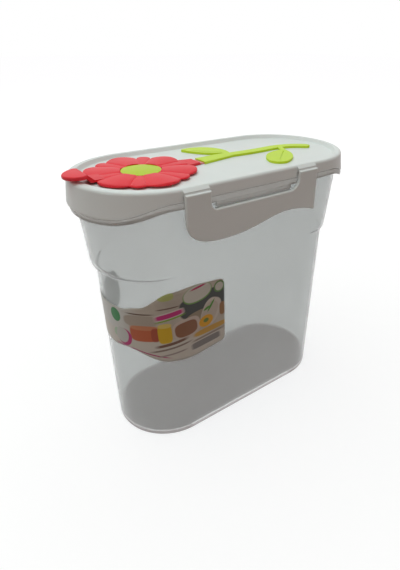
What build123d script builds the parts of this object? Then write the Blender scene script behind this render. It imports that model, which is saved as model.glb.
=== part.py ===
"""Two-litre dry-food keeper with a clip-down lid and a flower-shaped pour flap.

Millimetres, +Z up. X runs along the container, the pour end at -X, and the
clips are on the -Y (front) and +Y (rear) sides. The origin is on the surface
that the container stands on, below the middle of the object's outline.
"""
from build123d import *
import os
from math import cos, radians, sin, tan

# Container: stadium outlines, each given by its straight half run and its half width
lower_run = 48.2
upper_run = 50.8
base_half_width = 37.5
waist_half_width = 39.5
upper_draft_start = 40.3
wall = 1.6
floor_thickness = 1.8
foot_height = 1.2
foot_inset = 5.6
base_edge_radius = 1.8
waist_height = 124.0
shoulder_radius = 7.0
shoulder_height = 132.0

# Lid
lid_height = 184.0
lid_half_width = 46.1
skirt_bulge = 1.8
skirt_bulge_drop = 14.5
lid_wall = 1.8
lid_edge_radius = 2.0
panel_depth = 2.6
panel_thickness = 1.8
raised_rim_width = 4.2
panel_slope_width = 1.7
channel_depth = 1.8
plug_wall = 1.4
plug_depth = 4.6
lip_gap = 0.1
rim_setback = 1.6

# Rim flange and lid skirt: their parting line is high along the sides and dips at both ends.
# Every drop in this section and the next is measured down from the lid's top.
flange_thickness = 3.4
flange_inset = 0.3
skirt_drop_side = 7.4
skirt_drop_end = 15.6
parting_flat_half = 58.0
parting_dip_end = 94.0
parting_gap = 0.3
catch_drop = 13.5
catch_hold = 1.6
catch_margin = 5.0

# Clips
clip_left = -54.5
clip_right = 43.1
clip_thickness = 1.8
clip_edge_radius = 0.8
clip_low_drop = 33.2
clip_step_drop = 30.8
clip_arch_drop = 26.6
clip_low_at = -27.5
clip_arch_at = 20.0
clip_corner_drop = 17.0
window_left = -38.3
window_right = 27.6
window_sill_drop = 14.1
window_left_radius = 4.0
window_right_radius = 7.0
hook_thickness = 1.7
hook_reach = 2.6
hook_inset = 5.0
hook_drop = 0.4
hinge_drop = 2.7
clip_gap = 0.45
film_radius = 0.35
film_gap = 0.1

# Flower flap: large petals with narrow ones between them, a little lower
flower_x = -55.0
petal_pairs = 5
large_petal_turn = -28.5
large_petal_spread = 45.0
large_petal_reach = 33.2
large_petal_radius = 15.5
small_petal_reach = 31.8
small_petal_radius = 11.8
small_petal_drop = 0.5
petal_crown_radius = 62.0
petal_crest_at = 22.0
petal_edge_lift = 1.0
flower_base_radius = 27.5
flower_rise = 3.1
flap_lift = 0.2
pour_radius = 24.4
pour_collar_wall = 1.6
pour_collar_depth = 2.0
flap_plug_gap = 0.4
flap_plug_wall = 1.4
flap_plug_depth = 4.0
tongue_y = 2.0
tongue_root_width = 15.0
tongue_width = 10.0
tongue_thickness = 1.5
flap_hinge_x = -14.6
flap_hinge_lift = 0.6
flap_film_radius = 0.3
anchor_reach = 5.6
anchor_thickness = 0.7
tab_root_x = -89.4
tab_length = 11.05
tab_half_width = 9.6
tab_corner_radius = 2.5
tab_edge_radius = 0.8
tab_rise = 4.2
tab_thickness = 2.3
tab_slope = 4.0
neck_width = 11.0
neck_lap = 1.5
neck_run = 4.4
neck_clearance = 0.5

# Flower centre
centre_radius = 11.9
centre_sink = 0.2
centre_depth = 1.6
centre_crown_radius = 110.0
centre_gap = 0.15
peg_radius = 1.6
peg_gap = 0.12
peg_head_radius = 2.3
peg_head_height = 0.8

# Stem and leaves
stem_width = 7.2
stem_thickness = 1.5
stem_line = [(-8.0, 3.4), (2.0, 5.4), (16.0, 4.6), (28.0, 3.9),
             (42.0, 4.0), (57.0, 4.2), (68.0, 1.0), (76.0, -4.6)]
stem_pegs = [(0.0, 5.0), (30.0, 4.0), (60.0, 3.6)]
head_left = -12.4
head_y = 2.0
head_width = 12.0
head_run_out = (14.0, 4.8)
back_leaf_base = (15.0, 7.0)
back_leaf_heading = 131.5
back_leaf_length = 35.5
back_leaf_inner_bulge = 3.8
back_leaf_outer_bulge = 12.2
back_leaf_tip_radius = 1.5
front_leaf_base = (54.0, -6.0)
front_leaf_heading = 222.0
front_leaf_length = 40.0
front_leaf_inner_bulge = 7.6
front_leaf_outer_bulge = 10.4
front_leaf_tip_radius = 7.0
stalk_width = 3.6
stalk_start = (57.0, 3.0)
stalk_end = (51.0, -9.5)
vein_width = 0.7
vein_depth = 0.35

# Label wrapped round the pour end
label_thickness = 0.2
label_gap = 0.04
label_top = [(-41.8, 106.0), (-30.8, 107.0), (-17.8, 117.5), (-1.8, 120.2), (27.2, 117.6)]
label_bottom = [(-41.8, 76.0), (-30.8, 75.4), (-17.8, 68.2), (0.2, 66.0), (27.2, 70.4)]
label_corner_radius = 3.0
label_rear_end = -15.8
label_rear_top = 106.0
label_rear_bottom = 76.0
label_rear_radius = 6.0

# Values that follow from the sizes above
skirt_half_width = lid_half_width + skirt_bulge
rim_half_width = lid_half_width - rim_setback
parting_height_side = lid_height - skirt_drop_side
parting_height_end = lid_height - skirt_drop_end
panel_top = lid_height - panel_depth
panel_under = panel_top - panel_thickness
channel_top = lid_height - channel_depth
pad_root = lid_half_width - lid_wall / 2
rim_inner_half_width = lid_half_width - raised_rim_width
plug_outside = rim_inner_half_width + 0.1
floor_top = foot_height + floor_thickness
flange_side_width = (lid_half_width - flange_inset
                     + skirt_bulge * (skirt_drop_side + flange_thickness) / skirt_bulge_drop)
hinge_y = flange_side_width + clip_gap
hinge_z = lid_height - hinge_drop
left_tab = (clip_left, window_left)
right_tab = (window_right, clip_right)
clip_inside = hinge_y
clip_outside = clip_inside + clip_thickness
catch_half_width = clip_inside - hook_reach + catch_hold
film_reach = film_radius + film_gap
flap_bottom = panel_top + flap_lift
flap_hinge_z = panel_top + flap_hinge_lift
flower_top = panel_top + flower_rise
pour_plug_radius = pour_radius - flap_plug_gap
tab_tip = (tab_root_x - tab_length * cos(radians(tab_slope))
           - (tab_thickness - tab_edge_radius) * sin(radians(tab_slope)))
lid_half_length = upper_run + skirt_half_width
outline_centre = (lid_half_length + tab_tip) / 2
upper_slope = (rim_half_width - upper_draft_start) / (lid_height - shoulder_height)
far = 400.0


def stadium(run, half_width, z):
    """A flat stadium outline, with straight sides along X and round ends."""
    return Pos(0, 0, z) * SlotOverall(2 * (run + half_width), 2 * half_width)


def prism(run, half_width, z_low, z_high):
    """A stadium with upright walls."""
    return extrude(stadium(run, half_width, z_low), z_high - z_low)


def tapered(run, width_low, z_low, width_high, z_high):
    """A stadium whose half width changes evenly with height."""
    return loft([stadium(run, width_low, z_low), stadium(run, width_high, z_high)], ruled=True)


def block(x_low, x_high, y_low, y_high, z_low, z_high):
    """A box between two corners."""
    corner = Pos((x_low + x_high) / 2, (y_low + y_high) / 2, (z_low + z_high) / 2)
    return corner * Box(x_high - x_low, y_high - y_low, z_high - z_low)


def rod(radius, x, y, z_low, z_high):
    """An upright cylinder."""
    return Pos(x, y, (z_low + z_high) / 2) * Cylinder(radius, z_high - z_low)


def edges_at(solid, z):
    """The edges that lie wholly at one height."""
    return solid.edges().filter_by_position(Axis.Z, z - 0.001, z + 0.001)


def upper_half_width(z):
    """Half width of the container's outer wall above the shoulder."""
    return upper_draft_start + upper_slope * (z - shoulder_height)


def lower_half_width(z):
    """Half width of the container's outer wall below the shoulder."""
    return base_half_width + (waist_half_width - base_half_width) * z / waist_height


def container_form(inset, bottom, top):
    """The container's outer form, or with an inset the space inside its walls."""
    join = shoulder_height
    ledge = shoulder_height - shoulder_radius + inset
    lower = tapered(lower_run, lower_half_width(bottom) - inset, bottom,
                    lower_half_width(join) - inset, join)
    lower = fillet(edges_at(lower, bottom), max(base_edge_radius - inset, 1.0))
    upper = tapered(upper_run, upper_half_width(ledge) - inset, ledge,
                    upper_half_width(top) - inset, top)
    upper = fillet(edges_at(upper, ledge), shoulder_radius - inset)
    return lower + upper


def below_parting(offset, depth=far):
    """The space under the parting line, moved up by an offset, as far down as depth."""
    side = parting_height_side + offset
    end = parting_height_end + offset
    level = Vector(1, 0)
    right_dip = Spline((parting_flat_half, side), (parting_dip_end, end), tangents=(level, level))
    left_dip = Spline((-parting_dip_end, end), (-parting_flat_half, side), tangents=(level, level))
    flat = Line((-parting_flat_half, side), (parting_flat_half, side))
    if depth == far:
        sides = Polyline((parting_dip_end, end), (far, end), (far, 0),
                         (-far, 0), (-far, end), (-parting_dip_end, end))
        outline = make_face([left_dip, flat, right_dip, sides])
        return extrude(Plane.XZ * outline, far / 2, both=True)
    return below_parting(offset) - below_parting(offset - depth)


def skirt_form(inset, z_low):
    """The lid's outer form: it widens a little down to the bulge and narrows again below it."""
    bulge = lid_height - skirt_bulge_drop
    slope = (skirt_half_width - lid_half_width) / skirt_bulge_drop
    low_width = skirt_half_width - slope * 2 * (bulge - z_low)
    upper = tapered(upper_run, skirt_half_width - inset, bulge, lid_half_width - inset, lid_height)
    return upper + tapered(upper_run, low_width - inset, z_low, skirt_half_width - inset, bulge)


def mirrored(solid):
    """The same piece on the other long side."""
    return mirror(solid, about=Plane.XZ)


def make_container():
    """The tub: tapered stadium walls, end shoulders, a foot, a rim flange and two catch ribs."""
    mouth = channel_top - lip_gap
    outer = container_form(0, 0, mouth)
    flange = skirt_form(flange_inset, parting_height_end - 2 * flange_thickness)
    flange = flange & below_parting(0, flange_thickness)
    catch = block(window_left + catch_margin, window_right - catch_margin,
                  -catch_half_width, catch_half_width,
                  lid_height - catch_drop, parting_height_side - flange_thickness / 2)
    inside = container_form(wall, floor_top, mouth + 1)
    tub = outer + flange + catch - inside
    return tub - prism(lower_run, base_half_width - foot_inset, -1, foot_height)


def make_label():
    """A thin wrap round the pour end: a wide wavy panel in front, a short plain one behind."""
    inner = lower_half_width(0) + label_gap
    growth = waist_half_width - base_half_width
    band = tapered(lower_run, inner + label_thickness, 0,
                   inner + growth + label_thickness, waist_height)
    band = band - tapered(lower_run, inner, 0, inner + growth, waist_height)
    top = Spline(*label_top)
    bottom = Spline(*label_bottom)
    right = Line(label_bottom[-1], label_top[-1])
    left = Line(label_bottom[0], label_top[0])
    front = make_face([top, bottom, right, left])
    front = fillet(front.vertices().group_by(Axis.X)[-1], label_corner_radius)
    width = label_rear_end - label_top[0][0]
    height = label_rear_top - label_rear_bottom
    rear = Rectangle(width, height, align=Align.MIN)
    rear = fillet(rear.vertices().group_by(Axis.X)[-1], label_rear_radius)
    rear = Pos(label_top[0][0], label_rear_bottom) * rear
    panels = extrude(Plane.XZ * front, far / 2) + extrude(Plane.XZ * rear, -far / 2)
    return band & Pos(-lower_run, 0, 0) * panels


def make_lid():
    """The lid: raised rim over the container's lip, recessed panel, pour hole and hinge pads."""
    skirt_low = parting_height_end - flange_thickness
    shell = skirt_form(0, skirt_low)
    shell = fillet(edges_at(shell, lid_height), lid_edge_radius)
    recess = tapered(upper_run, rim_inner_half_width - panel_slope_width, panel_top,
                     rim_inner_half_width, lid_height)
    recess = fillet(edges_at(recess, panel_top), 1.2)
    hollow = skirt_form(lid_wall, skirt_low)
    under = hollow & block(-far, far, -far, far, 0, panel_under)
    channel = hollow & block(-far, far, -far, far, 0, channel_top)
    channel = channel - prism(upper_run, plug_outside, 0, channel_top)
    plug = (prism(upper_run, plug_outside, panel_under - plug_depth, panel_under)
            - prism(upper_run, plug_outside - plug_wall, 0, panel_under))
    lid = shell - recess - under - channel + plug
    lid = lid - below_parting(parting_gap)
    collar_radius = pour_radius + pour_collar_wall
    lid = lid + rod(collar_radius, flower_x, 0, panel_under - pour_collar_depth, panel_top)
    lid = lid - rod(pour_radius, flower_x, 0, 0, lid_height)
    for x, y in stem_pegs:
        lid = lid - rod(peg_radius + peg_gap, x, y, 0, lid_height)
    for low, high in (left_tab, right_tab):
        pad = make_hinge_pad(low, high)
        lid = lid + pad + mirrored(pad)
    return lid


def make_hinge_pad(x_low, x_high):
    """A pad on the lid's front edge that carries one film hinge."""
    top = lid_height - 0.3
    nose = hinge_y - film_reach
    profile = Polygon((-lid_half_width + 3, top), (-lid_half_width + 0.7, top),
                      (-hinge_y, hinge_z + film_reach + 0.3), (-hinge_y, hinge_z + film_reach),
                      (-nose, hinge_z + 0.2), (-nose, hinge_z - 1.2),
                      (-lid_half_width + 3, hinge_z - 1.2), align=None)
    pad = extrude(Plane.YZ * profile, x_high - x_low)
    return Pos(x_low, 0, 0) * pad & block(x_low, x_high, -hinge_y, -pad_root, 0, lid_height)


def make_film_hinge(x_low, x_high):
    """A thin web under one hinge pad, which the clip turns on."""
    middle = Pos((x_low + x_high) / 2, -hinge_y, hinge_z)
    return middle * Rot(0, 90, 0) * Cylinder(film_radius, x_high - x_low)


def make_clip():
    """The front clip: a plate with two hinge tabs, a window, a wavy pull edge and a hook."""
    top = hinge_z - film_reach
    corner = lid_height - clip_corner_drop
    clip_low = lid_height - clip_low_drop
    clip_arch = lid_height - clip_arch_drop
    clip_step_low = lid_height - clip_step_drop
    window_sill = lid_height - window_sill_drop
    left = Line((clip_left, top), (clip_left, corner))
    heel = Spline((clip_left, corner), (clip_low_at, clip_low),
                  tangents=(Vector(0, -1), Vector(1, 0)))
    wave = Spline((clip_low_at, clip_low), (clip_arch_at, clip_arch),
                  (clip_right, clip_step_low), tangents=(Vector(1, 0), Vector(1, -0.35)))
    right = Line((clip_right, clip_step_low), (clip_right, top))
    head = Line((clip_right, top), (clip_left, top))
    outline = make_face([left, heel, wave, right, head])
    window_width = window_right - window_left
    window_height = hinge_z - window_sill
    middle = Pos((window_left + window_right) / 2, window_sill + window_height / 2)
    window = middle * Rectangle(window_width, window_height)
    window = fillet(window.vertices().group_by(Axis.X)[0].sort_by(Axis.Y)[0], window_left_radius)
    window = fillet(window.vertices().group_by(Axis.X)[-1].sort_by(Axis.Y)[0], window_right_radius)
    plate = extrude(Plane.XZ * (outline - window), clip_outside)
    plate = plate & block(-far, far, -far, -clip_inside, 0, far)
    rounded = plate.edges().filter_by_position(Axis.Y, -clip_outside - 0.01, -clip_outside + 0.01)
    plate = fillet(rounded, clip_edge_radius)
    hook_top = window_sill - hook_drop
    hook = block(window_left + hook_inset, window_right - hook_inset,
                 -clip_inside - clip_thickness / 2, -clip_inside + hook_reach,
                 hook_top - hook_thickness, hook_top)
    return plate + hook


def make_petal(reach, radius, spread, drop):
    """One petal: a round ended shallow dome, cut to its sector."""
    side = (reach + 1) * tan(radians(spread / 2))
    sector = extrude(make_face(Polyline((0, 0), (reach + 1, -side), (reach + 1, side), (0, 0))), far)
    column = rod(radius, reach - radius, 0, flap_bottom + petal_edge_lift, flower_top + 1)
    dome = Pos(petal_crest_at, 0, flower_top - drop - petal_crown_radius)
    return column & sector & dome * Rot(90, 0, 0) * Sphere(petal_crown_radius)


def make_flower():
    """The flower: a base disc under alternate large and small petals."""
    step = 360 / petal_pairs
    large = make_petal(large_petal_reach, large_petal_radius, large_petal_spread, 0)
    small = make_petal(small_petal_reach, small_petal_radius, step - large_petal_spread,
                       small_petal_drop)
    flower = rod(flower_base_radius, 0, 0, flap_bottom, flap_bottom + petal_edge_lift + 0.2)
    flower = flower + rod(centre_radius + 2, 0, 0, flap_bottom, flower_top - 1)
    for index in range(petal_pairs):
        turn = large_petal_turn + index * step
        flower = flower + Rot(0, 0, turn) * large + Rot(0, 0, turn + step / 2) * small
    return Pos(flower_x, 0, 0) * flower


def make_flap():
    """The flower flap: petals, a plug ring, a thumb tab and a hinge tongue."""
    pocket = flower_top - centre_sink - centre_depth - centre_gap
    ring = (rod(pour_plug_radius, flower_x, 0, flap_bottom - flap_plug_depth, flap_bottom)
            - rod(pour_plug_radius - flap_plug_wall, flower_x, 0, 0, flap_bottom))
    flap = make_flower() + ring + make_thumb_tab() + make_tongue()
    flap = flap - rod(centre_radius + centre_gap, flower_x, 0, pocket, far)
    return flap - rod(peg_radius + peg_gap, flower_x, 0, 0, far)


def make_thumb_tab():
    """A half-oval lifting tab, sloping to its tip, on a neck that steps up over the lid's rim."""
    tab_top = lid_height + tab_rise
    oval = Ellipse(tab_length, tab_half_width)
    oval = oval & Pos(-tab_length, 0) * Rectangle(2 * tab_length, 3 * tab_half_width)
    oval = fillet(oval.vertices().group_by(Axis.X)[-1], tab_corner_radius)
    plate = extrude(oval, tab_thickness)
    plate = fillet(edges_at(plate, 0) + edges_at(plate, tab_thickness), tab_edge_radius)
    plate = Pos(tab_root_x, 0, tab_top - tab_thickness) * Rot(0, -tab_slope, 0) * plate
    root = flower_x - large_petal_reach + 2 * neck_run
    low = flap_bottom + petal_edge_lift
    petal_level = flower_top - small_petal_drop
    middle = tab_top - tab_thickness / 2
    neck = Polygon((root, low), (tab_root_x + neck_run / 2, low),
                   (tab_root_x + neck_lap / 2, lid_height + neck_clearance),
                   (tab_root_x - neck_lap, middle - neck_clearance),
                   (tab_root_x - neck_lap, middle + neck_clearance),
                   (tab_root_x, tab_top - neck_clearance),
                   (tab_root_x + neck_run, petal_level), (root, petal_level), align=None)
    return plate + extrude(Plane.XZ * neck, neck_width / 2, both=True)


def make_tongue():
    """The flap's hinge tongue, with its end bevelled beside the film hinge."""
    end = flap_hinge_x - flap_film_radius - film_gap
    top = flap_bottom + tongue_thickness
    bevel = top - flap_hinge_z
    root = flower_x + small_petal_reach - 4
    side = Polygon((root, flap_bottom), (end, flap_bottom), (end, flap_hinge_z),
                   (end - bevel, top), (root, top), align=None)
    plan = Polygon((root, -tongue_root_width / 2), (end, -tongue_width / 2),
                   (end, tongue_width / 2), (root, tongue_root_width / 2), align=None)
    tongue = extrude(Plane.XZ * side, tongue_root_width, both=True)
    return Pos(0, tongue_y, 0) * (tongue & extrude(plan, far))


def make_flap_film():
    """The thin web that the flap turns on."""
    middle = Pos(flap_hinge_x, tongue_y, flap_hinge_z)
    return middle * Rot(90, 0, 0) * Cylinder(flap_film_radius, tongue_width)


def anchor_block(grow):
    """The plate on the fixed side of the flap's film hinge, or the pocket that it fills."""
    start = flap_hinge_x + flap_film_radius + film_gap
    half = tongue_width / 2 + grow
    return block(start, start + anchor_reach + grow, tongue_y - half, tongue_y + half,
                 panel_top - grow, panel_top + anchor_thickness + grow)


def make_centre():
    """The flower's centre: a low domed disc on a peg that is headed under the flap."""
    top = flower_top - centre_sink
    disc = rod(centre_radius, flower_x, 0, top - centre_depth, top + 1)
    crown = Pos(flower_x, 0, top - centre_crown_radius) * Rot(90, 0, 0)
    disc = disc & crown * Sphere(centre_crown_radius)
    peg = rod(peg_radius, flower_x, 0, flap_bottom - 0.1, top - centre_depth)
    head_top = flap_bottom - 0.1
    head = rod(peg_head_radius, flower_x, 0, head_top - peg_head_height, head_top)
    return disc + peg + head


def leaf_face(base, heading, length, left_bulge, right_bulge, tip_radius):
    """A leaf outline: two arcs of different bulge from its base to a rounded tip."""
    left = ThreePointArc((0, 0), (length / 2, left_bulge), (length, 0))
    right = ThreePointArc((length, 0), (length / 2, -right_bulge), (0, 0))
    face = make_face([left, right])
    face = fillet(face.vertices().sort_by(Axis.X)[-1], tip_radius)
    return Pos(*base) * Rot(0, 0, heading) * face


def leaf_vein(base, heading, length):
    """A shallow groove along the middle of a leaf."""
    groove = Pos(length * 0.45, 0, panel_top + stem_thickness)
    groove = groove * Box(length * 0.6, vein_width, vein_depth * 2)
    return Pos(*base) * Rot(0, 0, heading) * groove


def make_stem():
    """Stem with a squared head, two leaves, and the pegs that hold it to the lid."""
    flat = trace(Spline(*stem_line), stem_width)
    flat = flat + Pos(*stem_line[-1]) * Circle(stem_width / 2)
    flat = flat + trace(Line(stalk_start, stalk_end), stalk_width)
    flat = flat + leaf_face(back_leaf_base, back_leaf_heading, back_leaf_length,
                            back_leaf_inner_bulge, back_leaf_outer_bulge, back_leaf_tip_radius)
    flat = flat + leaf_face(front_leaf_base, front_leaf_heading, front_leaf_length,
                            front_leaf_inner_bulge, front_leaf_outer_bulge, front_leaf_tip_radius)
    flat = flat + Polygon((head_left, head_y - head_width / 2),
                          (head_run_out[0], head_run_out[1] - stem_width / 2),
                          (head_run_out[0], head_run_out[1] + stem_width / 2),
                          (head_left, head_y + head_width / 2), align=None)
    stem = extrude(Pos(0, 0, panel_top) * flat, stem_thickness)
    stem = stem - anchor_block(0.05)
    stem = stem - leaf_vein(back_leaf_base, back_leaf_heading, back_leaf_length)
    stem = stem - leaf_vein(front_leaf_base, front_leaf_heading, front_leaf_length)
    head_under = panel_under - 0.1
    for x, y in stem_pegs:
        stem = stem + rod(peg_radius, x, y, head_under, panel_top)
        stem = stem + rod(peg_head_radius, x, y, head_under - peg_head_height, head_under)
    return stem


def write(name, solid):
    """Move a piece into the object's frame and write it as one file."""
    pieces = (Pos(-outline_centre, 0, 0) * solid).solids()
    export_step(pieces[0], "parts/" + name + ".step")
    return len(pieces)


def main():
    os.makedirs("parts", exist_ok=True)
    clip = make_clip()
    left_film = make_film_hinge(*left_tab)
    right_film = make_film_hinge(*right_tab)
    pieces = {
        "container": make_container(),
        "label": make_label(),
        "lid": make_lid(),
        "front_clip": clip,
        "rear_clip": mirrored(clip),
        "front_left_film_hinge": left_film,
        "front_right_film_hinge": right_film,
        "rear_left_film_hinge": mirrored(left_film),
        "rear_right_film_hinge": mirrored(right_film),
        "flower_flap": make_flap(),
        "flower_centre": make_centre(),
        "flap_film_hinge": make_flap_film(),
        "flap_anchor": anchor_block(0),
        "stem_and_leaves": make_stem(),
    }
    for name, solid in pieces.items():
        print(name, write(name, solid))


main()
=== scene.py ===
"""Two-litre dry-food keeper: looks, label, film hinges, flower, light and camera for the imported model."""
import bmesh
import bpy
from math import cos, pi, radians, sin, sqrt
from mathutils import Matrix, Vector


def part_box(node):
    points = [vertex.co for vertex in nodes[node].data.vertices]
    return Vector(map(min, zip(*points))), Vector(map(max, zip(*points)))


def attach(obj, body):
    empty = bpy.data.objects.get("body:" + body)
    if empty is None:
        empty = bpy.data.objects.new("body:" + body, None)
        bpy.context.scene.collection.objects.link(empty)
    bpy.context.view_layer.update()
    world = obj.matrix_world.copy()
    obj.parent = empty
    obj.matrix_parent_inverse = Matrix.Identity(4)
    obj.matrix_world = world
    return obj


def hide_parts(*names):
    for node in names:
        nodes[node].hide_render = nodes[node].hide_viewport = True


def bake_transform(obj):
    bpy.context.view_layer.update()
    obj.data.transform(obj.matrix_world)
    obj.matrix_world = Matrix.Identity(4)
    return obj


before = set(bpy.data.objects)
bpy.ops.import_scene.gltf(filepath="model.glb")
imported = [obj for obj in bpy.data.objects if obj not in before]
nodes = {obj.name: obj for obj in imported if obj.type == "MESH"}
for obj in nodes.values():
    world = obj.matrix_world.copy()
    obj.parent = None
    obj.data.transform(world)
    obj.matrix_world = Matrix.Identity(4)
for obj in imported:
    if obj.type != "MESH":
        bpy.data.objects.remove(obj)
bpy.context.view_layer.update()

MM = 0.001
lid_low, lid_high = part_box("lid")
MIDDLE = (lid_low[0] + lid_high[0]) / 2


def point(x, y, z):
    """A point in millimetres, with X counted from the middle of the lid."""
    return Vector((MIDDLE + x * MM, y * MM, z * MM))


# Node helpers

def new_material(name):
    """A new material and its empty node tree."""
    material = bpy.data.materials.new(name)
    material.use_nodes = True
    tree = material.node_tree
    tree.nodes.clear()
    return material, tree


def add(tree, kind, **values):
    """A new node with the given settings."""
    node = tree.nodes.new(kind)
    for key, value in values.items():
        setattr(node, key, value)
    return node


def compute(tree, operation, a, b=None, c=None):
    """The result of a maths node whose inputs are sockets or numbers."""
    node = add(tree, "ShaderNodeMath", operation=operation)
    for index, value in enumerate((a, b, c)):
        if value is None:
            continue
        if hasattr(value, "is_linked"):
            tree.links.new(value, node.inputs[index])
        else:
            node.inputs[index].default_value = value
    return node.outputs[0]


def noise(tree, scale, detail=3.0):
    """A noise fixed to the object."""
    coordinates = add(tree, "ShaderNodeTexCoord")
    texture = add(tree, "ShaderNodeTexNoise")
    texture.inputs["Scale"].default_value = scale
    texture.inputs["Detail"].default_value = detail
    tree.links.new(coordinates.outputs["Object"], texture.inputs["Vector"])
    return texture.outputs["Fac"]


def mix_colour(tree, factor, a, b):
    """The mix of two colours, each a socket or three numbers."""
    node = add(tree, "ShaderNodeMix", data_type="RGBA")
    for index, value in ((0, factor), (6, a), (7, b)):
        if hasattr(value, "is_linked"):
            tree.links.new(value, node.inputs[index])
        elif index == 0:
            node.inputs[index].default_value = value
        else:
            node.inputs[index].default_value = (*value, 1.0)
    return node.outputs[2]


def span(tree, value, low, high, out_low=0.0, out_high=1.0):
    """A value between low and high drawn out to lie between two others."""
    node = add(tree, "ShaderNodeMapRange")
    node.clamp = True
    tree.links.new(value, node.inputs["Value"])
    for name, number in (("From Min", low), ("From Max", high), ("To Min", out_low), ("To Max", out_high)):
        node.inputs[name].default_value = number
    return node.outputs["Result"]


# Plastics: noise scales are per metre, and each noise is drawn out over the range that it mostly fills.
# SLAB_TOP and FLANGE_START are the ranges, in millimetres, over which one look fades into the next.

WIDE_NOISE = (0.3, 0.7)
MIDDLE_NOISE = (0.35, 0.65)
BEVEL_SAMPLES = 6
GRAIN_SCALE = 900.0
GRAIN_DEPTH = 1.0 * MM
SHEEN_SCALE = 28.0
SHEEN_DROP = 0.05
SHEEN_RISE = 0.06
TINT_SCALE = 22.0
TINT_DROP = 0.05
PLASTIC_GRAIN = 0.012
PLASTIC_EDGE = 0.4 * MM
UNDER_SURFACE = 0.12
UNDER_SURFACE_REACH = (1.8 * MM, 1.4 * MM, 1.2 * MM)
PLASTIC_IOR = 1.49
COAT_WEIGHT = 0.12
COAT_ROUGHNESS = 0.16

FROST_SCALE = 14.0
WALL_COLOURS = ((0.745, 0.762, 0.758), (0.775, 0.792, 0.788))
# The floor slab's colour is painted shade: it is darker to stand in for the shade under the container, seen
# through its floor.
SLAB_PAINTED_SHADE_COLOUR = (0.60, 0.57, 0.565)
FLANGE_COLOUR = (0.70, 0.69, 0.67)
WALL_CLEARNESS = 0.80
SLAB_CLEARNESS = 0.50
FLANGE_SHARE = 0.5
SLAB_TOP = (3.1, 4.2)
UPPER_RUN = 50.8
FLANGE_START = (44.6, 44.9)
FROST_IOR = 1.12
FROST_ROUGHNESS = 0.13
FROST_GRAIN = 0.006
FROST_EDGE = 0.3 * MM
FROST_SPECULAR = 0.5


def moulded(tree, shader, roughness, grain, edge):
    """Soft edges, slight sheen variation and a fine moulded grain on a shader."""
    bevel = add(tree, "ShaderNodeBevel", samples=BEVEL_SAMPLES)
    bevel.inputs["Radius"].default_value = edge
    bump = add(tree, "ShaderNodeBump")
    bump.inputs["Strength"].default_value = grain
    bump.inputs["Distance"].default_value = GRAIN_DEPTH
    tree.links.new(noise(tree, GRAIN_SCALE, detail=2.0), bump.inputs["Height"])
    tree.links.new(bevel.outputs["Normal"], bump.inputs["Normal"])
    tree.links.new(bump.outputs["Normal"], shader.inputs["Normal"])
    sheen = span(tree, noise(tree, SHEEN_SCALE, detail=4.0), *WIDE_NOISE,
                 roughness - SHEEN_DROP, roughness + SHEEN_RISE)
    tree.links.new(sheen, shader.inputs["Roughness"])


def plastic(name, colour, roughness, gloss=0.45):
    """An opaque moulded polypropylene with a little light under its surface."""
    material, tree = new_material(name)
    shader = add(tree, "ShaderNodeBsdfPrincipled")
    out = add(tree, "ShaderNodeOutputMaterial")
    darker = tuple(value * (1 - TINT_DROP) for value in colour)
    tint = mix_colour(tree, span(tree, noise(tree, TINT_SCALE), *MIDDLE_NOISE), darker, colour)
    tree.links.new(tint, shader.inputs["Base Color"])
    shader.inputs["Subsurface Weight"].default_value = UNDER_SURFACE
    shader.inputs["Subsurface Radius"].default_value = UNDER_SURFACE_REACH
    shader.inputs["Subsurface Scale"].default_value = 1.0
    shader.inputs["IOR"].default_value = PLASTIC_IOR
    shader.inputs["Specular IOR Level"].default_value = gloss
    shader.inputs["Coat Weight"].default_value = COAT_WEIGHT
    shader.inputs["Coat Roughness"].default_value = COAT_ROUGHNESS
    moulded(tree, shader, roughness, PLASTIC_GRAIN, PLASTIC_EDGE)
    tree.links.new(shader.outputs[0], out.inputs["Surface"])
    return material


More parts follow.
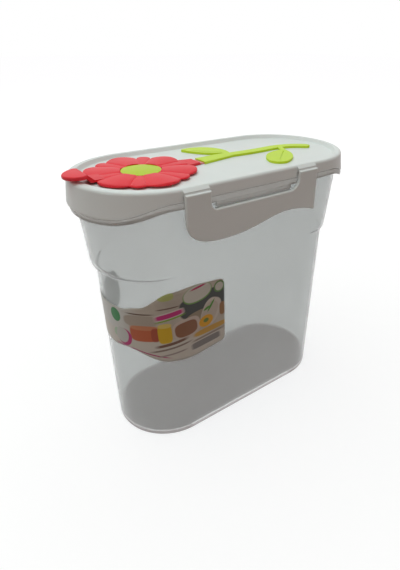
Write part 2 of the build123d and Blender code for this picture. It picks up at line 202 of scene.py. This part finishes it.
def frosted(name):
    """Translucent polypropylene, clear in the walls and milkier in the rim flange; the floor slab is less
    clear, as thicker plastic, and is painted darker as painted shade for the shade under the container.
    """
    material, tree = new_material(name)
    shader = add(tree, "ShaderNodeBsdfPrincipled")
    out = add(tree, "ShaderNodeOutputMaterial")
    haze = span(tree, noise(tree, FROST_SCALE), *MIDDLE_NOISE)
    wall = mix_colour(tree, haze, *WALL_COLOURS)
    coordinates = add(tree, "ShaderNodeTexCoord")
    split = add(tree, "ShaderNodeSeparateXYZ")
    tree.links.new(coordinates.outputs["Object"], split.inputs[0])
    # Painted shade: below SLAB_TOP the floor slab takes the darker slab colour, and it is also less clear
    # there.
    above_painted_slab_shade = span(tree, split.outputs[2], SLAB_TOP[0] * MM, SLAB_TOP[1] * MM)
    along = compute(tree, "ABSOLUTE", compute(tree, "SUBTRACT", split.outputs[0], MIDDLE))
    past_run = compute(tree, "MAXIMUM", compute(tree, "SUBTRACT", along, UPPER_RUN * MM), 0.0)
    squares = compute(tree, "ADD", compute(tree, "POWER", past_run, 2.0),
                      compute(tree, "POWER", split.outputs[1], 2.0))
    outward = compute(tree, "SQRT", squares)
    flange = span(tree, outward, FLANGE_START[0] * MM, FLANGE_START[1] * MM)
    colour = mix_colour(tree, above_painted_slab_shade, SLAB_PAINTED_SHADE_COLOUR, wall)
    colour = mix_colour(tree, flange, colour, FLANGE_COLOUR)
    clearness = span(tree, above_painted_slab_shade, 0.0, 1.0, SLAB_CLEARNESS, WALL_CLEARNESS)
    clearness = compute(tree, "MULTIPLY", clearness, span(tree, flange, 0.0, 1.0, 1.0, FLANGE_SHARE))
    tree.links.new(colour, shader.inputs["Base Color"])
    tree.links.new(clearness, shader.inputs["Transmission Weight"])
    shader.inputs["IOR"].default_value = FROST_IOR
    shader.inputs["Specular IOR Level"].default_value = FROST_SPECULAR
    moulded(tree, shader, FROST_ROUGHNESS, FROST_GRAIN, FROST_EDGE)
    tree.links.new(shader.outputs[0], out.inputs["Surface"])
    return material


def dress(material, *names):
    """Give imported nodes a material."""
    for name in names:
        slots = nodes[name].data.materials
        slots.clear()
        slots.append(material)


# Meshes made of rings of points

def ring_faces(rings, count, closed=False):
    """Faces between rings of count points each, capped at both ends or, closed, leading back to the first."""
    faces = []
    for i in range(rings if closed else rings - 1):
        following = (i + 1) % rings
        for j in range(count):
            k = (j + 1) % count
            faces.append((i * count + j, i * count + k, following * count + k, following * count + j))
    if not closed:
        last = (rings - 1) * count
        faces += [tuple(reversed(range(count))), tuple(range(last, last + count))]
    return faces


def new_piece(name, verts, faces, material):
    """An object in the scene, made of the given points and faces in one material."""
    mesh = bpy.data.meshes.new(name)
    mesh.from_pydata(verts, [], faces)
    mesh.materials.append(material)
    piece = bpy.data.objects.new(name, mesh)
    bpy.context.scene.collection.objects.link(piece)
    return piece


# Label: arc length and height in millimetres are its UV, so that shapes keep their form round the end

LOWER_RUN = 48.2
BASE_HALF = 37.5
WAIST_HALF = 39.5
WAIST_HEIGHT = 124.0
PRINT_SCALE = 100.0
LABEL_LIFT = 0.16
LABEL_THICKNESS = 0.12
LABEL_COLUMNS = 120
LABEL_ROWS = 24
PAPER = (0.63, 0.63, 0.60)
# The rear paper is painted lighter. This painted light stands in for the light that reaches the label's far
# side through the walls.
REAR_PAPER_PAINTED_LIGHT = (0.84, 0.84, 0.82)
LOWER_PAPER = (0.63, 0.59, 0.53)
WOOD_COLOURS = ((0.40, 0.35, 0.29), (0.58, 0.52, 0.45))
WOOD_SCALE = 60.0
WOOD_START = (16.0, 30.0)
REAR_START = (-20.0, -14.0)
REAR_CLEARNESS = 0.62
LOWER_EDGE = 90.0
LOWER_EDGE_SLOPE = -0.12
LOWER_EDGE_FADE = 1.5
SHAPE_SOFTNESS = 0.25
SHAPE_SOFTNESS_MOST = 0.2
LABEL_ROUGHNESS = 0.40
LABEL_SPECULAR = 0.25


def label_place(s, z, lift):
    """The point on the lower wall at arc length s from the pour end's tip, positive on the front."""
    half = BASE_HALF + (WAIST_HALF - BASE_HALF) * z / WAIST_HEIGHT + lift
    quarter = half * pi / 2
    if s > quarter:
        return point(-LOWER_RUN + (s - quarter), -half, z)
    if s < -quarter:
        return point(-LOWER_RUN - (s + quarter), half, z)
    angle = s / half
    return point(-LOWER_RUN - half * cos(angle), -half * sin(angle), z)


def smooth_curve(points, s):
    """A smooth height through a few (s, z) points."""
    for (s0, z0), (s1, z1) in zip(points, points[1:]):
        if s <= s1:
            t = max(0.0, min(1.0, (s - s0) / (s1 - s0)))
            t = t * t * (3 - 2 * t)
            return z0 + (z1 - z0) * t
    return points[-1][1]


def shape_mask(tree, u, v, centre, size, turn, power):
    """One inside a rounded shape of that centre, half sizes and turn in degrees, and zero outside it."""
    du = compute(tree, "SUBTRACT", u, centre[0])
    dv = compute(tree, "SUBTRACT", v, centre[1])
    c, s = cos(radians(turn)), sin(radians(turn))
    a = compute(tree, "ADD", compute(tree, "MULTIPLY", du, c / size[0]),
                compute(tree, "MULTIPLY", dv, s / size[0]))
    b = compute(tree, "ADD", compute(tree, "MULTIPLY", du, -s / size[1]),
                compute(tree, "MULTIPLY", dv, c / size[1]))
    a = compute(tree, "POWER", compute(tree, "ABSOLUTE", a), power)
    b = compute(tree, "POWER", compute(tree, "ABSOLUTE", b), power)
    reach = compute(tree, "POWER", compute(tree, "ADD", a, b), 1.0 / power)
    edge = min(SHAPE_SOFTNESS_MOST, SHAPE_SOFTNESS / min(size))
    return span(tree, reach, 1.0 - edge, 1.0 + edge, 1.0, 0.0)


def label_material():
    """A generic kitchen still life of plain shapes: a board, bowls, a loaf and an egg-like disc."""
    material, tree = new_material("printed_label")
    shader = add(tree, "ShaderNodeBsdfPrincipled")
    out = add(tree, "ShaderNodeOutputMaterial")
    uv = add(tree, "ShaderNodeUVMap", uv_map="print")
    split = add(tree, "ShaderNodeSeparateXYZ")
    tree.links.new(uv.outputs[0], split.inputs[0])
    u = compute(tree, "MULTIPLY", split.outputs[0], PRINT_SCALE)
    v = compute(tree, "MULTIPLY", split.outputs[1], PRINT_SCALE)
    grain = span(tree, noise(tree, WOOD_SCALE, detail=6.0), *WIDE_NOISE)
    wood = mix_colour(tree, grain, *WOOD_COLOURS)
    colour = mix_colour(tree, span(tree, u, *WOOD_START), PAPER, wood)
    edge = compute(tree, "MULTIPLY_ADD", u, LOWER_EDGE_SLOPE, LOWER_EDGE)
    above = compute(tree, "SUBTRACT", v, edge)
    lower = span(tree, above, -LOWER_EDGE_FADE, LOWER_EDGE_FADE, 1.0, 0.0)
    colour = mix_colour(tree, lower, colour, LOWER_PAPER)
    # Painted light: the rear part of the label takes the lighter rear paper.
    colour = mix_colour(tree, span(tree, u, *REAR_START), REAR_PAPER_PAINTED_LIGHT, colour)
    for (centre, size, turn, power), tint in LABEL_SHAPES:
        mask = shape_mask(tree, u, v, centre, size, turn, power)
        colour = mix_colour(tree, mask, colour, tint)
    tree.links.new(colour, shader.inputs["Base Color"])
    clearness = span(tree, u, *REAR_START, REAR_CLEARNESS, 0.0)
    tree.links.new(clearness, shader.inputs["Transmission Weight"])
    shader.inputs["Roughness"].default_value = LABEL_ROUGHNESS
    shader.inputs["Specular IOR Level"].default_value = LABEL_SPECULAR
    tree.links.new(shader.outputs[0], out.inputs["Surface"])
    return material


# Each shape is its centre, half sizes, turn in degrees and squareness, then its colour.
# Later shapes lie on top.
LABEL_SHAPES = [
    (((74.0, 106.0), (20.0, 8.0), 4.0, 4.0), (0.045, 0.045, 0.04)),
    (((66.0, 96.0), (8.0, 5.0), 8.0, 3.0), (0.30, 0.24, 0.17)),
    (((29.0, 99.5), (11.0, 4.2), 3.0, 3.0), (0.42, 0.36, 0.30)),
    (((29.0, 104.6), (8.5, 0.5), 2.0, 3.0), (0.12, 0.07, 0.05)),
    (((47.0, 108.6), (7.0, 0.5), 5.0, 3.0), (0.16, 0.10, 0.08)),
    (((46.0, 117.0), (5.0, 3.0), 4.0, 2.4), (0.42, 0.45, 0.16)),
    (((31.0, 90.0), (9.4, 5.8), 2.0, 4.0), (0.50, 0.12, 0.045)),
    (((31.0, 94.6), (9.0, 1.7), 2.0, 2.6), (0.56, 0.22, 0.11)),
    (((38.0, 89.5), (2.6, 5.2), 0.0, 3.0), (0.36, 0.07, 0.03)),
    (((44.0, 89.5), (4.4, 7.0), 2.0, 4.0), (0.66, 0.42, 0.02)),
    (((44.0, 96.0), (4.2, 1.7), 2.0, 2.5), (0.72, 0.56, 0.16)),
    (((58.5, 91.0), (9.6, 7.4), 6.0, 3.0), (0.60, 0.50, 0.44)),
    (((58.0, 90.6), (7.8, 5.6), 6.0, 3.0), (0.24, 0.10, 0.045)),
    (((47.5, 103.4), (9.6, 2.5), 12.0, 5.0), (0.66, 0.60, 0.56)),
    (((47.5, 103.4), (8.8, 1.7), 12.0, 5.0), (0.50, 0.03, 0.18)),
    (((48.0, 100.6), (9.2, 0.6), 12.0, 4.0), (0.20, 0.34, 0.04)),
    (((76.5, 97.0), (7.0, 10.2), -24.0, 2.5), (0.62, 0.56, 0.50)),
    (((75.5, 96.4), (5.6, 8.4), -24.0, 2.5), (0.54, 0.47, 0.40)),
    (((72.5, 91.0), (5.4, 4.4), 10.0, 2.0), (0.72, 0.36, 0.02)),
    (((72.5, 91.4), (2.0, 1.6), 10.0, 2.0), (0.12, 0.20, 0.03)),
    (((76.6, 101.5), (0.8, 4.8), -34.0, 2.0), (0.08, 0.24, 0.03)),
    (((73.4, 100.4), (2.6, 0.9), 24.0, 2.0), (0.08, 0.26, 0.03)),
    (((85.5, 96.0), (2.4, 5.0), 0.0, 3.0), (0.30, 0.15, 0.06)),
    (((76.0, 83.6), (13.0, 2.2), 4.0, 3.0), (0.56, 0.32, 0.06)),
    (((67.0, 114.0), (10.6, 6.4), 8.0, 2.2), (0.16, 0.30, 0.07)),
    (((67.0, 114.4), (10.0, 5.8), 8.0, 2.2), (0.62, 0.60, 0.54)),
    (((67.6, 118.2), (5.6, 0.7), 8.0, 2.0), (0.42, 0.02, 0.10)),
    (((83.2, 113.6), (4.2, 4.2), 0.0, 2.0), (0.10, 0.20, 0.05)),
    (((83.2, 113.6), (3.1, 3.1), 0.0, 2.0), (0.60, 0.58, 0.52)),
    (((11.0, 100.0), (4.3, 5.0), 0.0, 2.0), (0.015, 0.20, 0.04)),
    (((10.0, 86.5), (2.4, 3.4), -20.0, 2.0), (0.42, 0.56, 0.40)),
    (((16.6, 84.8), (5.6, 6.6), -14.0, 2.2), (0.46, 0.03, 0.17)),
    (((14.8, 85.8), (5.0, 5.9), -14.0, 2.2), (0.56, 0.56, 0.53)),
    (((16.5, 77.6), (7.4, 0.45), -4.0, 3.0), (0.46, 0.03, 0.17)),
    (((34.0, 74.2), (12.5, 0.45), -17.0, 3.0), (0.42, 0.05, 0.16)),
    (((48.0, 81.6), (10.0, 1.1), 10.0, 5.0), (0.16, 0.08, 0.05)),
    (((47.5, 78.0), (13.0, 0.7), 9.0, 5.0), (0.24, 0.18, 0.15)),
    (((74.0, 79.4), (12.0, 0.8), 5.0, 5.0), (0.30, 0.24, 0.20)),
    (((72.0, 75.0), (11.0, 2.6), 5.0, 7.0), (0.22, 0.20, 0.19)),
    (((48.0, 73.4), (9.0, 0.6), 8.0, 5.0), (0.34, 0.28, 0.26)),
]

LABEL_TOP = [(-46.0, 106.4), (16.0, 106.6), (28.0, 109.0), (49.0, 119.2), (62.0, 120.6), (92.0, 118.2)]
LABEL_BOTTOM = [(-46.0, 76.0), (6.0, 76.2), (18.0, 77.6), (47.0, 67.4), (60.0, 66.6), (92.0, 69.6)]
LABEL_ENDS = (-44.4, 87.2)
LABEL_CORNERS = (7.5, 3.5)


def make_label():
    """The printed film, as a thin skin with its own print coordinates."""
    columns, rows = LABEL_COLUMNS, LABEL_ROWS
    start, stop = LABEL_ENDS
    verts = []
    prints = []
    for i in range(columns + 1):
        s = start + (stop - start) * i / columns
        low = smooth_curve(LABEL_BOTTOM, s)
        high = smooth_curve(LABEL_TOP, s)
        for edge, radius in ((s - start, LABEL_CORNERS[0]), (stop - s, LABEL_CORNERS[1])):
            if edge < radius:
                round_off = radius - sqrt(max(0.0, radius ** 2 - (radius - edge) ** 2))
                low += round_off
                high -= round_off
        for j in range(rows + 1):
            z = low + (high - low) * j / rows
            verts.append(label_place(s, z, LABEL_LIFT))
            prints.append((s / PRINT_SCALE, z / PRINT_SCALE))
    faces = []
    for i in range(columns):
        for j in range(rows):
            a = i * (rows + 1) + j
            faces.append((a, a + 1, a + rows + 2, a + rows + 1))
    piece = new_piece("printed_label", verts, faces, label_material())
    mesh = piece.data
    layer = mesh.uv_layers.new(name="print")
    for loop in mesh.loops:
        layer.data[loop.index].uv = prints[loop.vertex_index]
    for polygon in mesh.polygons:
        polygon.use_smooth = True
    solidify = piece.modifiers.new("film", "SOLIDIFY")
    solidify.thickness = LABEL_THICKNESS * MM
    solidify.offset = 1.0
    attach(piece, "container_body")
    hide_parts("label")


# Film hinges: thin bent webs across each turning axis, in millimetres

CLIP_WEB_SPANS = (("left", -54.3, -38.5), ("right", 27.8, 42.9))
CLIP_WEB_INNER = [(47.05, 181.9), (47.3, 181.5), (47.4, 181.3), (47.5, 181.1), (47.75, 180.7)]
CLIP_WEB_OUTER = [(47.45, 181.95), (47.62, 181.6), (47.72, 181.3), (47.85, 181.0), (48.3, 180.75)]
FLAP_WEB_SPAN = (-2.9, 6.9)
FLAP_WEB_LOWER = [(-15.3, 181.66), (-14.9, 181.8), (-14.6, 181.85), (-14.3, 181.8), (-13.9, 181.7)]
FLAP_WEB_UPPER = [(-15.3, 182.3), (-14.9, 182.12), (-14.6, 182.08), (-14.3, 182.06), (-13.9, 182.0)]
TONGUE_Y = 2.0


def band(inner, outer):
    """A closed profile from its inner and outer edges."""
    return inner + list(reversed(outer))


def make_film_hinges(material):
    """The four webs that carry the clips."""
    for side, sign in (("front", -1), ("rear", 1)):
        profile = [(sign * y, z) for y, z in band(CLIP_WEB_INNER, CLIP_WEB_OUTER)]
        for end, low, high in CLIP_WEB_SPANS:
            name = side + "_" + end + "_film_hinge"
            verts = [point(x, y, z) for x in (low, high) for y, z in profile]
            piece = new_piece(name + "_web", verts, ring_faces(2, len(profile)), material)
            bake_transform(piece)
            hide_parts(name)


def make_flap_hinge(material):
    """The web that carries the flower flap."""
    profile = band(FLAP_WEB_LOWER, FLAP_WEB_UPPER)
    verts = [point(x, y, z) for y in FLAP_WEB_SPAN for x, z in profile]
    piece = new_piece("flap_film_hinge_web", verts, ring_faces(2, len(profile)), material)
    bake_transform(piece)
    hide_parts("flap_film_hinge")


# Flower flap: six large petals with six narrow lower ones between them, a thumb tab and a hinge tongue.
# A petal is its reach, the radius of its round end and how much lower it lies. Sizes are in millimetres.

FLOWER_X = -55.0
FLAP_BOTTOM = 181.6
FLOWER_TOP = 184.5
POCKET_TOP = 182.55
POCKET_RADIUS = 12.05
PEG_HOLE_RADIUS = 1.72
PLUG_RADII = (22.6, 24.0)
PLUG_LOW = 177.6
BASE_RADIUS = 27.5
PETAL_UNDERSIDE = 182.6
PETAL_TURN = 31.0
PETAL_STEP = 60.0
LARGE_HALF_SPREAD = 21.0
LARGE_PETAL = (33.0, 12.3, 0.0)
SMALL_PETAL = (31.5, 5.6, 0.6)
PETAL_CREST = 22.0
PETAL_LENGTH_RADIUS = 170.0
PETAL_WIDTH_RADIUS = 46.0
PETAL_EDGE = 0.7
PETAL_EDGE_STEPS = (0.0, 0.06, 0.2, 0.42, PETAL_EDGE)
PETAL_WALL_LEAST = 0.05
AZIMUTH_STEP = 1.5
AZIMUTHS = [PETAL_TURN + AZIMUTH_STEP * i for i in range(round(360 / AZIMUTH_STEP))]
DOME_STEPS = 14
CREASE_DEPTH = 0.35
CREASE_HALF_WIDTH = 0.9
TAB_ROOT = -89.4
TAB_LENGTH = 11.05
TAB_HALF_WIDTH = 9.6
TAB_CORNER = 2.5
TAB_CORNER_INSET = 2.7
TAB_CORNER_ANGLES = range(0, 81, 16)
TAB_END_ANGLES = range(106, 181, 6)
TAB_EDGE_ANGLES = range(0, 91, 18)
TAB_THICKNESS = 2.3
TAB_EDGE = 0.8
TAB_TOP = 188.2
TAB_SLOPE = 4.0
NECK_HALF_WIDTH = 5.5
NECK_SIDE = [(-79.4, 182.6), (-87.2, 182.6), (-88.65, 184.5), (-90.9, 186.55),
             (-90.9, 187.55), (-89.4, 187.7), (-85.0, 183.9), (-79.4, 183.9)]
TONGUE_TOP = 183.1
TONGUE_STATIONS = [(-27.2, 7.5, TONGUE_TOP), (-16.1, 5.225, TONGUE_TOP), (-15.0, 5.0, 182.0)]
SHARP_ANGLE = 32.0


def petal_at(azimuth):
    """The petal over an azimuth in degrees, the angle from its axis and the angle to the next crease."""
    turn = (azimuth - PETAL_TURN + PETAL_STEP / 2) % PETAL_STEP - PETAL_STEP / 2
    if abs(turn) <= LARGE_HALF_SPREAD:
        return LARGE_PETAL, turn, LARGE_HALF_SPREAD - abs(turn)
    small_turn = abs(turn) - PETAL_STEP / 2
    return SMALL_PETAL, small_turn, abs(turn) - LARGE_HALF_SPREAD


def petal_reach(azimuth):
    """How far the flower's outline is from its middle."""
    (reach, radius, _), turn, _ = petal_at(azimuth)
    centre = reach - radius
    across = centre * sin(radians(turn))
    return centre * cos(radians(turn)) + sqrt(radius ** 2 - across ** 2)


def petal_height(azimuth, r):
    """The height of the petals' top, with a crease where two of them meet."""
    (_, _, drop), turn, margin = petal_at(azimuth)
    along = r * cos(radians(turn)) - PETAL_CREST
    across = r * sin(radians(turn))
    dome = -along ** 2 / (2 * PETAL_LENGTH_RADIUS) - across ** 2 / (2 * PETAL_WIDTH_RADIUS)
    crease = max(0.0, 1 - r * radians(margin) / CREASE_HALF_WIDTH)
    return FLOWER_TOP - drop + dome - CREASE_DEPTH * crease


def flower_shell():
    """The petals over a base disc with a plug ring, as rings of points from the peg hole out and back."""
    under = [(PEG_HOLE_RADIUS, FLAP_BOTTOM), (PLUG_RADII[0], FLAP_BOTTOM), (PLUG_RADII[0], PLUG_LOW),
             (PLUG_RADII[1], PLUG_LOW), (PLUG_RADII[1], FLAP_BOTTOM), (BASE_RADIUS, FLAP_BOTTOM),
             (BASE_RADIUS, PETAL_UNDERSIDE)]
    rings = [[place] * len(AZIMUTHS) for place in under]
    rings.append([(petal_reach(azimuth), PETAL_UNDERSIDE) for azimuth in AZIMUTHS])
    for inset in PETAL_EDGE_STEPS:
        fall = PETAL_EDGE - sqrt(PETAL_EDGE ** 2 - (PETAL_EDGE - inset) ** 2)
        ring = []
        for azimuth in AZIMUTHS:
            radius = petal_reach(azimuth) - inset
            height = petal_height(azimuth, radius) - fall
            ring.append((radius, max(PETAL_UNDERSIDE + PETAL_WALL_LEAST, height)))
        rings.append(ring)
    for step in range(1, DOME_STEPS + 1):
        ring = []
        for azimuth in AZIMUTHS:
            outside = petal_reach(azimuth) - PETAL_EDGE
            radius = outside + (POCKET_RADIUS - outside) * step / DOME_STEPS
            ring.append((radius, petal_height(azimuth, radius)))
        rings.append(ring)
    rings += [[(radius, POCKET_TOP)] * len(AZIMUTHS) for radius in (POCKET_RADIUS, PEG_HOLE_RADIUS)]
    verts = [point(FLOWER_X + radius * cos(radians(azimuth)), radius * sin(radians(azimuth)), z)
             for ring in rings for azimuth, (radius, z) in zip(AZIMUTHS, ring)]
    return verts, ring_faces(len(rings), len(AZIMUTHS), closed=True)


def tab_outline():
    """Half an oval with rounded corners, and the outward direction at each of its points."""
    corner_y = TAB_HALF_WIDTH - TAB_CORNER_INSET
    corner = [(-TAB_CORNER + TAB_CORNER * cos(radians(t)), corner_y + TAB_CORNER * sin(radians(t)))
              for t in TAB_CORNER_ANGLES]
    oval = [(TAB_LENGTH * cos(radians(t)), TAB_HALF_WIDTH * sin(radians(t))) for t in TAB_END_ANGLES]
    half = corner + oval
    outline = half + [(x, -y) for x, y in reversed(half)]
    normals = []
    for i in range(len(outline)):
        (x0, y0), (x1, y1) = outline[i - 1], outline[(i + 1) % len(outline)]
        length = sqrt((x1 - x0) ** 2 + (y1 - y0) ** 2)
        normals.append(((y1 - y0) / length, (x0 - x1) / length))
    return outline, normals


def tab_shell():
    """The thumb tab: a half-oval plate with rounded edges that slopes down to its tip."""
    outline, normals = tab_outline()
    layers = [(TAB_EDGE * (1 - sin(radians(t))), TAB_EDGE * (1 - cos(radians(t)))) for t in TAB_EDGE_ANGLES]
    layers += [(inset, TAB_THICKNESS - z) for inset, z in reversed(layers)]
    slope = radians(TAB_SLOPE)
    verts = []
    for inset, z in layers:
        for (x, y), (nx, ny) in zip(outline, normals):
            flat_x = x - inset * nx
            verts.append(point(TAB_ROOT + flat_x * cos(slope) - z * sin(slope), y - inset * ny,
                               TAB_TOP - TAB_THICKNESS + flat_x * sin(slope) + z * cos(slope)))
    return verts, ring_faces(len(layers), len(outline))


def neck_shell():
    """The step that carries the tab over the lid's rim."""
    verts = [point(x, y, z) for y in (-NECK_HALF_WIDTH, NECK_HALF_WIDTH) for x, z in NECK_SIDE]
    return verts, ring_faces(2, len(NECK_SIDE))


def tongue_shell():
    """The hinge tongue, narrower and bevelled towards the film hinge."""
    verts = []
    for x, half, top in TONGUE_STATIONS:
        for y, z in ((-half, FLAP_BOTTOM), (half, FLAP_BOTTOM), (half, top), (-half, top)):
            verts.append(point(x, TONGUE_Y + y, z))
    return verts, ring_faces(len(TONGUE_STATIONS), 4)


def make_flower_flap(material):
    """The whole visible flap as one piece, with smooth faces and sharp creases."""
    verts = []
    faces = []
    for shell_verts, shell_faces in (flower_shell(), tab_shell(), neck_shell(), tongue_shell()):
        start = len(verts)
        verts += shell_verts
        faces += [tuple(start + index for index in face) for face in shell_faces]
    piece = new_piece("flower_petals", verts, faces, material)
    mesh = piece.data
    work = bmesh.new()
    work.from_mesh(mesh)
    bmesh.ops.recalc_face_normals(work, faces=work.faces)
    work.to_mesh(mesh)
    work.free()
    for polygon in mesh.polygons:
        polygon.use_smooth = True
    mesh.set_sharp_from_angle(angle=radians(SHARP_ANGLE))
    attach(piece, "flap_body")
    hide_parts("flower_flap")


# Stage, light and camera: lengths in metres, apart from the camera's place in millimetres

FLOOR_REACH = 6.0
FLOOR_COLOUR = (0.30, 0.27, 0.25, 1)
GLOW_COLOUR = (0.975, 1.0, 1.02, 1)
GLOW_LEVEL = 0.915
GLOW_DIP = 0.115
GLOW_DIP_RANGE = (0.15, 0.9)
FILL_COLOUR = (1.0, 0.82, 0.75)
FILL_LEVEL = 0.35
WHITE = (1.0, 1.0, 1.0)
PICTURE_WIDTH = 400.0
PICTURE_HEIGHT = 570.0
OPTICAL_CENTRE = (235.0, 265.0)
FOCAL_LENGTH = 433.13
SENSOR_WIDTH = 36.0
CAMERA_PLACE = (-163.4, -233.1, 254.0)
CAMERA_RIGHT = (0.7973, -0.6035, 0.0139)
CAMERA_UP = (0.2725, 0.3803, 0.8838)
CAMERA_AHEAD = (0.5386, 0.7008, -0.4677)


def seen_white(tree):
    """One for rays that should see the plain white surroundings."""
    path = add(tree, "ShaderNodeLightPath")
    seen = compute(tree, "MAXIMUM", path.outputs["Is Camera Ray"], path.outputs["Is Glossy Ray"])
    return compute(tree, "MAXIMUM", seen, path.outputs["Is Transmission Ray"])


def make_stage():
    """A white floor that glows a little less round the object, so that its soft shadow shows."""
    material, tree = new_material("floor")
    out = add(tree, "ShaderNodeOutputMaterial")
    diffuse = add(tree, "ShaderNodeBsdfDiffuse")
    diffuse.inputs["Color"].default_value = FLOOR_COLOUR
    glow = add(tree, "ShaderNodeEmission")
    glow.inputs["Color"].default_value = GLOW_COLOUR
    place = add(tree, "ShaderNodeTexCoord")
    distance = add(tree, "ShaderNodeVectorMath", operation="LENGTH")
    tree.links.new(place.outputs["Object"], distance.inputs[0])
    direct = add(tree, "ShaderNodeLightPath").outputs["Is Camera Ray"]
    dip = span(tree, distance.outputs["Value"], *GLOW_DIP_RANGE, GLOW_DIP, 0.0)
    level = compute(tree, "MULTIPLY", seen_white(tree), GLOW_LEVEL)
    level = compute(tree, "SUBTRACT", level, compute(tree, "MULTIPLY", direct, dip))
    tree.links.new(level, glow.inputs["Strength"])
    both = add(tree, "ShaderNodeAddShader")
    tree.links.new(diffuse.outputs[0], both.inputs[0])
    tree.links.new(glow.outputs[0], both.inputs[1])
    tree.links.new(both.outputs[0], out.inputs["Surface"])
    reach = FLOOR_REACH
    corners = [(-reach, -reach, 0), (reach, -reach, 0), (reach, reach, 0), (-reach, reach, 0)]
    floor = new_piece("floor", corners, [(0, 1, 2, 3)], material)


def make_world():
    """Plain white where it is seen, and a dim warm fill on diffuse surfaces."""
    world = bpy.data.worlds.new("studio")
    bpy.context.scene.world = world
    world.use_nodes = True
    tree = world.node_tree
    tree.nodes.clear()
    out = add(tree, "ShaderNodeOutputWorld")
    back = add(tree, "ShaderNodeBackground")
    seen = seen_white(tree)
    tint = mix_colour(tree, seen, FILL_COLOUR, WHITE)
    tree.links.new(tint, back.inputs["Color"])
    tree.links.new(span(tree, seen, 0.0, 1.0, FILL_LEVEL, 1.0), back.inputs["Strength"])
    tree.links.new(back.outputs[0], out.inputs["Surface"])


def lamp(name, place, aim, size, energy, colour):
    """A rectangular area light that points at aim."""
    data = bpy.data.lights.new(name, "AREA")
    data.shape = "RECTANGLE"
    data.size, data.size_y = size
    data.energy = energy
    data.color = colour
    piece = bpy.data.objects.new(name, data)
    bpy.context.scene.collection.objects.link(piece)
    piece.location = place
    piece.rotation_euler = (Vector(aim) - Vector(place)).to_track_quat("-Z", "Y").to_euler()


def make_camera():
    """The camera that was fitted to the photograph. Its focal length and optical centre are in pixels."""
    data = bpy.data.cameras.new("camera")
    camera = bpy.data.objects.new("camera", data)
    bpy.context.scene.collection.objects.link(camera)
    turn = Matrix((Vector(CAMERA_RIGHT), Vector(CAMERA_UP), -Vector(CAMERA_AHEAD)))
    camera.matrix_world = Matrix.Translation(point(*CAMERA_PLACE)) @ turn.transposed().to_4x4()
    data.sensor_width = SENSOR_WIDTH
    data.lens = FOCAL_LENGTH / PICTURE_HEIGHT * SENSOR_WIDTH
    data.shift_x = (PICTURE_WIDTH / 2 - OPTICAL_CENTRE[0]) / PICTURE_HEIGHT
    data.shift_y = (OPTICAL_CENTRE[1] - PICTURE_HEIGHT / 2) / PICTURE_HEIGHT
    data.clip_start = 0.01
    data.clip_end = 20.0
    bpy.context.scene.camera = camera


white = plastic("white_polypropylene", (0.79, 0.81, 0.80), roughness=0.48)
coral = plastic("coral_polypropylene", (0.86, 0.028, 0.044), roughness=0.50, gloss=0.2)
pale_coral = plastic("thin_coral", (0.76, 0.26, 0.27), roughness=0.34)
# One lime plastic in two copies: the stem's copy is painted lighter and the centre's painted darker. This is
# painted light on the stem and painted shade on the centre, evening out the different light that each gets.
lime = plastic("lime_polypropylene", (0.60, 0.80, 0.034), roughness=0.50, gloss=0.2)
centre_lime_painted_shade = plastic("centre_lime_painted_shade_polypropylene", (0.52, 0.66, 0.020), roughness=0.50, gloss=0.2)
dress(frosted("frosted_polypropylene"), "container")
dress(white, "lid", "front_clip", "rear_clip")
dress(coral, "flower_flap")
dress(pale_coral, "flap_anchor")
dress(centre_lime_painted_shade, "flower_centre")
dress(lime, "stem_and_leaves")
make_label()
make_film_hinges(white)
make_flap_hinge(pale_coral)
make_flower_flap(coral)

make_stage()
make_world()
lamp("overhead", place=(-0.15, 0.2, 1.25), aim=(0, 0, 0.1), size=(1.5, 1.2),
     energy=9.9, colour=(0.81, 1.0, 0.99))
lamp("left_side", place=(-1.3, 0.1, 0.55), aim=(0, 0, 0.12), size=(0.7, 0.9), energy=0.2, colour=WHITE)
make_camera()

scene = bpy.context.scene
scene.view_settings.view_transform = "Standard"
